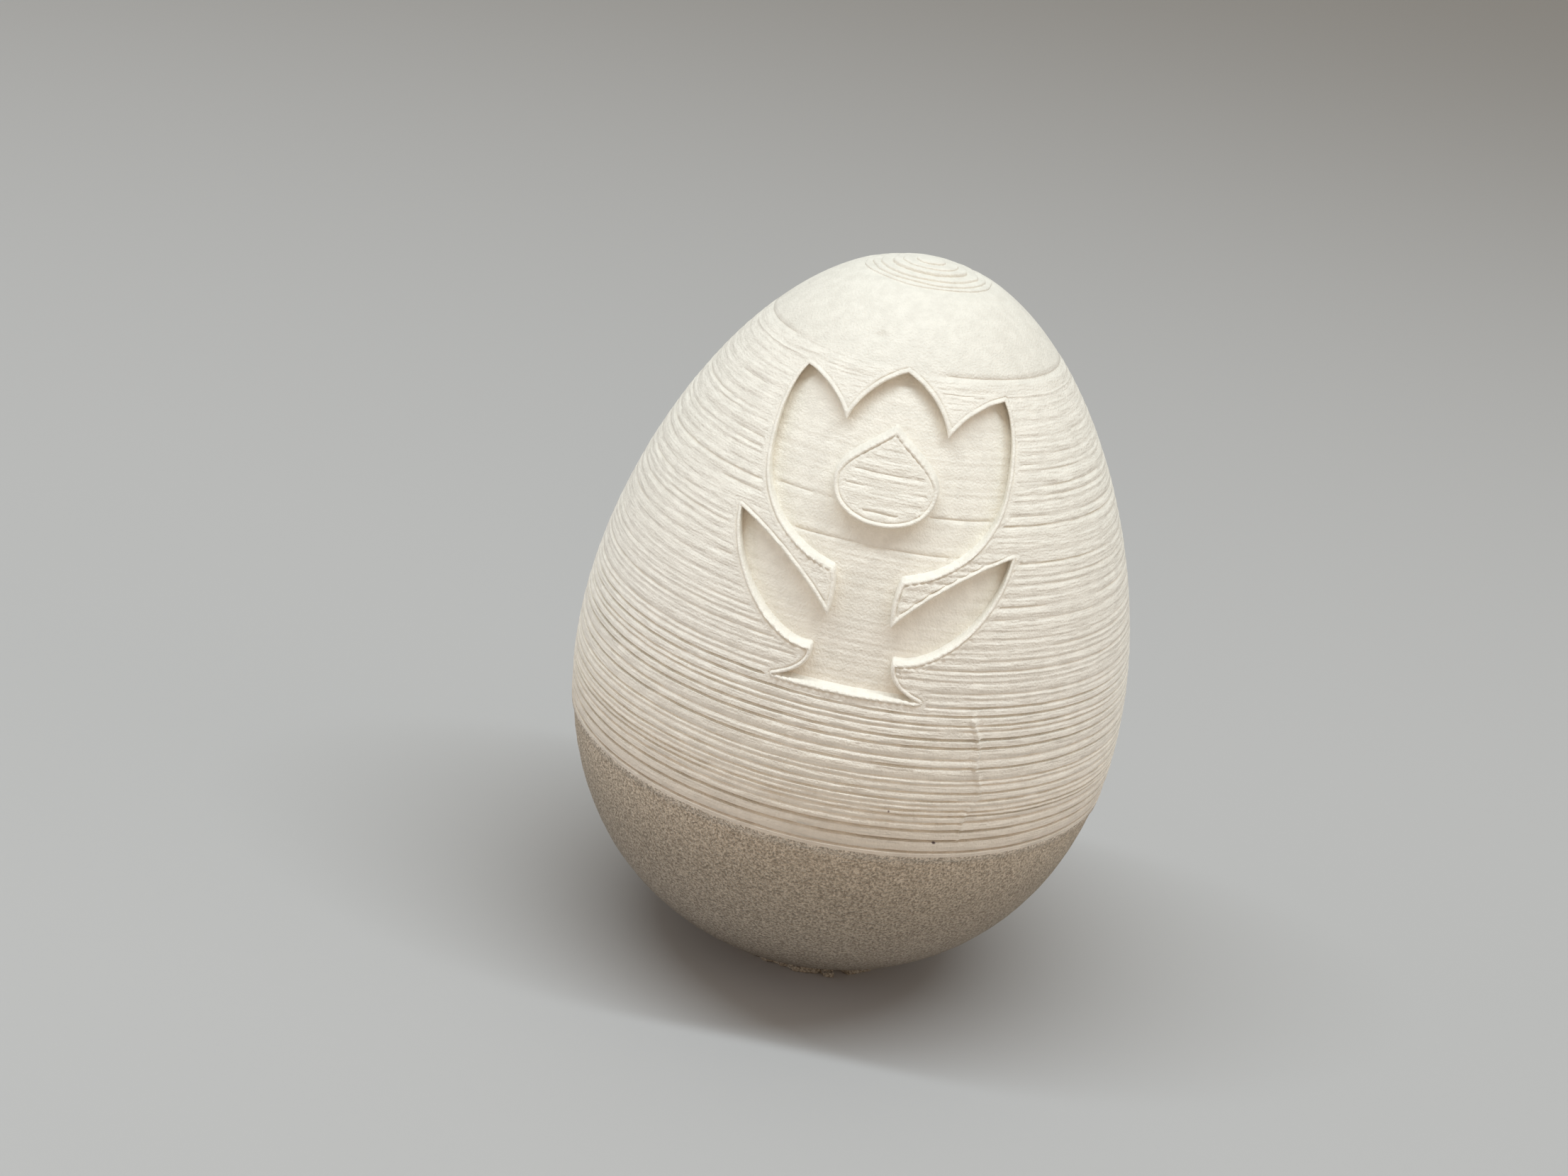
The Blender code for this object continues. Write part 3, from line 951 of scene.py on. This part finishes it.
def add_node(tree, kind, settings=(), **values):
    """A new node with its settings and socket values; a value that is a socket is linked."""
    node = tree.nodes.new("ShaderNode" + kind)
    for setting, value in dict(settings).items():
        setattr(node, setting, value)
    for socket, value in values.items():
        put(tree, node.inputs[socket.replace("_", " ")], value)
    return node


def put(tree, socket, value):
    """Sets a socket, or links it where the value is another socket."""
    if isinstance(value, bpy.types.NodeSocket):
        tree.links.new(value, socket)
    else:
        socket.default_value = value


def sum_of(tree, kind, first, second):
    """A Math node of that kind, and its result."""
    node = tree.nodes.new("ShaderNodeMath")
    node.operation = kind
    put(tree, node.inputs[0], first)
    put(tree, node.inputs[1], second)
    return node.outputs[0]


def stepped(tree, value, low, high):
    """A smooth step of value from 0 at low to 1 at high."""
    node = add_node(tree, "MapRange", {"interpolation_type": "SMOOTHSTEP"}, Value=value)
    put(tree, node.inputs["From Min"], low)
    put(tree, node.inputs["From Max"], high)
    return node.outputs["Result"]


def colour_and_shade_by_height_group():
    """The plastic's colour by height with painted shade: dull tan below the lip and darker towards the foot,
    cream above it.
    """
    sockets = (("Total Height", "Float", TIP_TOP),)
    tree, given, made = node_group("zone_colour", sockets, (("Colour", "Color"),))
    place = add_node(tree, "TexCoord").outputs["Object"]
    height = add_node(tree, "SeparateXYZ", Vector=place).outputs["Z"]
    ramp = tree.nodes.new("ShaderNodeValToRGB")
    put(tree, ramp.inputs[0], sum_of(tree, "DIVIDE", height, given.outputs["Total Height"]))
    stops = ramp.color_ramp.elements
    for i, (at, colour) in enumerate(ZONE_COLOURS_AND_SHADE):
        stop = stops[i] if i < 2 else stops.new(at / TIP_TOP)
        stop.position = at / TIP_TOP
        stop.color = (*colour, 1.0)
    tree.links.new(ramp.outputs["Color"], made.inputs["Colour"])
    return tree


def tooth_group():
    """The plastic's fine tooth: a small even grain, as a height."""
    sockets = (("Grain Size", "Float", 0.0002), ("Relief", "Float", 0.00003))
    tree, given, made = node_group("fine_tooth", sockets, (("Height", "Float"),))
    place = add_node(tree, "TexCoord").outputs["Object"]
    scale = sum_of(tree, "DIVIDE", 1.0, given.outputs["Grain Size"])
    grain = add_node(tree, "TexNoise", Vector=place, Scale=scale, Detail=1.0).outputs[0]
    tree.links.new(sum_of(tree, "MULTIPLY", grain, given.outputs["Relief"]), made.inputs["Height"])
    return tree


def sand_group():
    """Small rounded grains: their height, and a broken shade from 0 to 1 that follows them, for painted
    shade in the gaps and painted highlight on the tops.
    """
    sockets = (("Grain Size", "Float", 0.0003), ("Relief", "Float", 0.0001))
    tree, given, made = node_group("sand", sockets, (("Height", "Float"), ("Shade", "Float")))
    place = add_node(tree, "TexCoord").outputs["Object"]
    scale = sum_of(tree, "DIVIDE", 1.0, given.outputs["Grain Size"])
    speckle = add_node(tree, "TexNoise", Vector=place, Scale=scale, Detail=2.0, Roughness=0.6).outputs[0]
    pebbles = add_node(tree, "TexVoronoi", Vector=place, Scale=scale)
    mound = sum_of(tree, "SUBTRACT", 1.0, pebbles.outputs["Distance"])
    height = sum_of(tree, "ADD", sum_of(tree, "MULTIPLY", mound, SAND_MOUND), speckle)
    tree.links.new(sum_of(tree, "MULTIPLY", height, given.outputs["Relief"]), made.inputs["Height"])
    tree.links.new(stepped(tree, speckle, *SAND_SHADE_STEP), made.inputs["Shade"])
    return tree


def streaks_group():
    """Thin lines along the printed layers, from 0 to 1, that start and stop."""
    sockets = (("Line Height", "Float", 0.0002), ("Line Length", "Float", 0.004))
    tree, given, made = node_group("layer_streaks", sockets, (("Streaks", "Float"),))
    place = add_node(tree, "TexCoord").outputs["Object"]
    along = sum_of(tree, "DIVIDE", 1.0, given.outputs["Line Length"])
    upward = sum_of(tree, "DIVIDE", 1.0, given.outputs["Line Height"])
    stretch = add_node(tree, "CombineXYZ", X=along, Y=along, Z=upward).outputs[0]
    stretched = tree.nodes.new("ShaderNodeVectorMath")
    stretched.operation = "MULTIPLY"
    put(tree, stretched.inputs[0], place)
    put(tree, stretched.inputs[1], stretch)
    lines = add_node(tree, "TexNoise", Vector=stretched.outputs[0], Scale=1.0, Detail=1.5, Roughness=0.5)
    tree.links.new(lines.outputs[0], made.inputs["Streaks"])
    return tree


def mottle_group():
    """Faint blotches over the plastic, as a shade to multiply its colour by."""
    tones = (("Dark", "Color", (0.9, 0.9, 0.9, 1.0)), ("Light", "Color", (1.1, 1.1, 1.1, 1.0)))
    sockets = (("Blotch Size", "Float", 0.001), *tones)
    tree, given, made = node_group("mottle", sockets, (("Shade", "Color"),))
    place = add_node(tree, "TexCoord").outputs["Object"]
    scale = sum_of(tree, "DIVIDE", 1.0, given.outputs["Blotch Size"])
    cloud = add_node(tree, "TexNoise", Vector=place, Scale=scale, Detail=3.0, Roughness=0.7).outputs[0]
    shade = blended(tree, stepped(tree, cloud, *MOTTLE_STEP), given.outputs["Dark"], given.outputs["Light"])
    tree.links.new(shade, made.inputs["Shade"])
    return tree


def speck_group():
    """Mask of one small round speck at Centre."""
    sockets = (("Centre", "Vector", (0.0, 0.0, 0.0)), ("Radius", "Float", 0.0002))
    tree, given, made = node_group("speck", sockets, (("Mask", "Float"),))
    place = add_node(tree, "TexCoord").outputs["Object"]
    away = tree.nodes.new("ShaderNodeVectorMath")
    away.operation = "DISTANCE"
    put(tree, away.inputs[0], place)
    put(tree, away.inputs[1], given.outputs["Centre"])
    inner = sum_of(tree, "MULTIPLY", given.outputs["Radius"], 0.5)
    outside = stepped(tree, away.outputs["Value"], inner, given.outputs["Radius"])
    inside = sum_of(tree, "SUBTRACT", 1.0, outside)
    tree.links.new(inside, made.inputs["Mask"])
    return tree


def place_group(tree, group, **values):
    """A copy of a node group in a material, with its values set."""
    node = tree.nodes.new("ShaderNodeGroup")
    node.node_tree = group
    for socket, value in values.items():
        put(tree, node.inputs[socket.replace("_", " ")], value)
    return node


def blended(tree, factor, below, above, kind="MIX"):
    """A colour mix of two colours."""
    node = tree.nodes.new("ShaderNodeMix")
    node.data_type = "RGBA"
    node.blend_type = kind
    put(tree, node.inputs[0], factor)
    put(tree, node.inputs[6], below)
    put(tree, node.inputs[7], above)
    return node.outputs[2]


def new_material(name):
    """A material with a Principled BSDF."""
    material = bpy.data.materials.new(name)
    material.use_nodes = True
    return material, material.node_tree, material.node_tree.nodes["Principled BSDF"]


def on_skin(turn_degrees, level):
    """A place on the egg form."""
    turn = math.radians(turn_degrees)
    radius = float(radius_at(np.array(level)))
    return (radius * math.sin(turn), -radius * math.cos(turn), level)


class Finishes:
    """The egg's three finishes and the node groups that they share."""

    def __init__(self):
        self.shaded_zones = colour_and_shade_by_height_group()
        self.tooth = tooth_group()
        self.mottle = mottle_group()

    def cream(self, tree):
        """The plastic's colour at each height with its painted shade, faintly mottled."""
        shades = {"Dark": (*MOTTLE_DARK, 1.0), "Light": (*MOTTLE_LIGHT, 1.0)}
        shade = place_group(tree, self.mottle, Blotch_Size=MOTTLE_SIZE, **shades).outputs["Shade"]
        # Colour by height with its painted shade, times the mottle
        return blended(tree, 1.0, place_group(tree, self.shaded_zones).outputs["Colour"], shade, "MULTIPLY")

    def sanded(self):
        """The rough underside: grains of plastic with painted shade in their gaps and painted highlight on
        their tops.
        """
        material, tree, shader = new_material("sanded_plastic")
        sand = place_group(tree, sand_group(), Grain_Size=SAND_SIZE, Relief=SAND_RELIEF)
        # Painted shade in the grains' gaps and painted highlight on their tops, over the colour by height
        # and its painted shade
        shade = blended(tree, sand.outputs["Shade"], (*SAND_GAP_SHADE, 1.0), (*SAND_TOP_HIGHLIGHT, 1.0))
        colour = place_group(tree, self.shaded_zones).outputs["Colour"]
        tree.links.new(blended(tree, 1.0, colour, shade, "MULTIPLY"), shader.inputs["Base Color"])
        bump = add_node(tree, "Bump", Height=sand.outputs["Height"], Distance=1.0)
        tree.links.new(bump.outputs["Normal"], shader.inputs["Normal"])
        shader.inputs["Roughness"].default_value = SAND_ROUGHNESS
        return material

    def layered(self):
        """The layers' skin: fine streaks along the layers, and two dark specks."""
        material, tree, shader = new_material("layered_plastic")
        colour = self.cream(tree)
        speck = speck_group()
        for turn, level, radius, tone in SPECKS:
            mask = place_group(tree, speck, Centre=on_skin(turn, level), Radius=radius).outputs["Mask"]
            colour = blended(tree, mask, colour, (*tone, 1.0))
        tree.links.new(colour, shader.inputs["Base Color"])
        streaks = place_group(tree, streaks_group(), Line_Height=STREAK_HEIGHT, Line_Length=STREAK_LENGTH)
        tooth = place_group(tree, self.tooth, Grain_Size=TOOTH_SIZE, Relief=TOOTH_RELIEF)
        lines = sum_of(tree, "MULTIPLY", streaks.outputs["Streaks"], STREAK_RELIEF)
        height = sum_of(tree, "ADD", lines, tooth.outputs["Height"])
        bump = add_node(tree, "Bump", Height=height, Distance=1.0)
        tree.links.new(bump.outputs["Normal"], shader.inputs["Normal"])
        shader.inputs["Roughness"].default_value = SKIN_ROUGHNESS
        return material

    def smooth(self):
        """The carving, the cap and the tip: only the fine tooth."""
        material, tree, shader = new_material("smooth_plastic")
        tree.links.new(self.cream(tree), shader.inputs["Base Color"])
        tooth = place_group(tree, self.tooth, Grain_Size=TOOTH_SIZE, Relief=TOOTH_RELIEF)
        bump = add_node(tree, "Bump", Height=tooth.outputs["Height"], Distance=1.0)
        tree.links.new(bump.outputs["Normal"], shader.inputs["Normal"])
        shader.inputs["Roughness"].default_value = SKIN_ROUGHNESS
        return material


# Studio: floor, lights (name, place, size, watts, colour, tilt in degrees) and the pale dome round them
FLOOR_SIZE = 6.0
FLOOR_DROP = 0.00002
FLOOR_COLOUR = (0.43, 0.42, 0.41, 1.0)
FLOOR_ROUGHNESS = 0.7
AIM = (0.0, 0.0, 0.03)
LIGHTS = (
    ("overhead_strip", (0.0, -0.08, 0.62), (0.90, 0.045), 3.86, (0.83, 0.93, 1.0), 7.7),
    ("low_left", (-0.75, -0.15, 0.14), (0.50, 0.14), 1.0, (0.95, 0.92, 1.0), None),
    ("low_front", (0.08, -0.75, 0.18), (0.50, 0.18), 0.60, (1.0, 0.60, 0.36), None),
    ("soft_right", (0.75, -0.20, 0.25), (0.50, 0.40), 0.6, (1.0, 0.86, 0.86), None),
)
DOME_COLOUR = (1.0, 0.95, 0.86, 1.0)
DOME_STRENGTH = 0.46


def make_floor():
    """The plain pale floor."""
    bpy.ops.mesh.primitive_plane_add(size=FLOOR_SIZE, location=(0.0, 0.0, -FLOOR_DROP))
    floor = bpy.context.object
    floor.name = "studio_floor"
    material, tree, shader = new_material("pale_floor")
    shader.inputs["Base Color"].default_value = FLOOR_COLOUR
    shader.inputs["Roughness"].default_value = FLOOR_ROUGHNESS
    floor.data.materials.append(material)


def area_light(name, location, size, power, color, tilt):
    """A soft rectangular light that points at the egg, or that a tilt turns about X."""
    light = bpy.data.lights.new(name, "AREA")
    light.shape = "RECTANGLE"
    light.size, light.size_y = size
    light.energy = power
    light.color = color
    lamp = bpy.data.objects.new(name, light)
    lamp.location = location
    if tilt is None:
        lamp.rotation_euler = (Vector(AIM) - Vector(location)).to_track_quat("-Z", "Y").to_euler()
    else:
        lamp.rotation_euler = (math.radians(tilt), 0.0, 0.0)
    bpy.context.scene.collection.objects.link(lamp)


def make_light():
    """A wide strip overhead, low soft lights at the left, in front and at the right, and a pale dome."""
    for light in LIGHTS:
        area_light(*light)
    world = bpy.data.worlds.new("studio")
    world.use_nodes = True
    background = world.node_tree.nodes["Background"]
    background.inputs["Color"].default_value = DOME_COLOUR
    background.inputs["Strength"].default_value = DOME_STRENGTH
    bpy.context.scene.world = world


# Camera: the photograph's viewing angle, worked out from the egg's outline
CAMERA_PLACE = (0.0, -0.17497, 0.09707)
CAMERA_YAW = 2.083
CAMERA_DIP = 21.212
CAMERA_ROLL = 10.619
CAMERA_LENS = 54.1
CAMERA_SENSOR = 36.0
CAMERA_CLIP = 0.01


def make_camera():
    """The camera at the photograph's viewing angle."""
    data = bpy.data.cameras.new("camera")
    data.sensor_width = CAMERA_SENSOR
    data.lens = CAMERA_LENS
    data.clip_start = CAMERA_CLIP
    camera = bpy.data.objects.new("camera", data)
    turn = Matrix.Rotation(math.radians(CAMERA_YAW), 4, "Z")
    dip = Matrix.Rotation(math.radians(90.0 - CAMERA_DIP), 4, "X")
    roll = Matrix.Rotation(math.radians(CAMERA_ROLL), 4, "Z")
    camera.matrix_world = Matrix.Translation(CAMERA_PLACE) @ turn @ dip @ roll
    bpy.context.scene.collection.objects.link(camera)
    bpy.context.scene.camera = camera


egg = make_skin()
finishes = Finishes()
for finish in (finishes.sanded(), finishes.layered(), finishes.smooth()):
    egg.data.materials.append(finish)
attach(egg, "root")
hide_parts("egg")
make_floor()
make_light()
make_camera()
bpy.context.scene.view_settings.view_transform = "Standard"
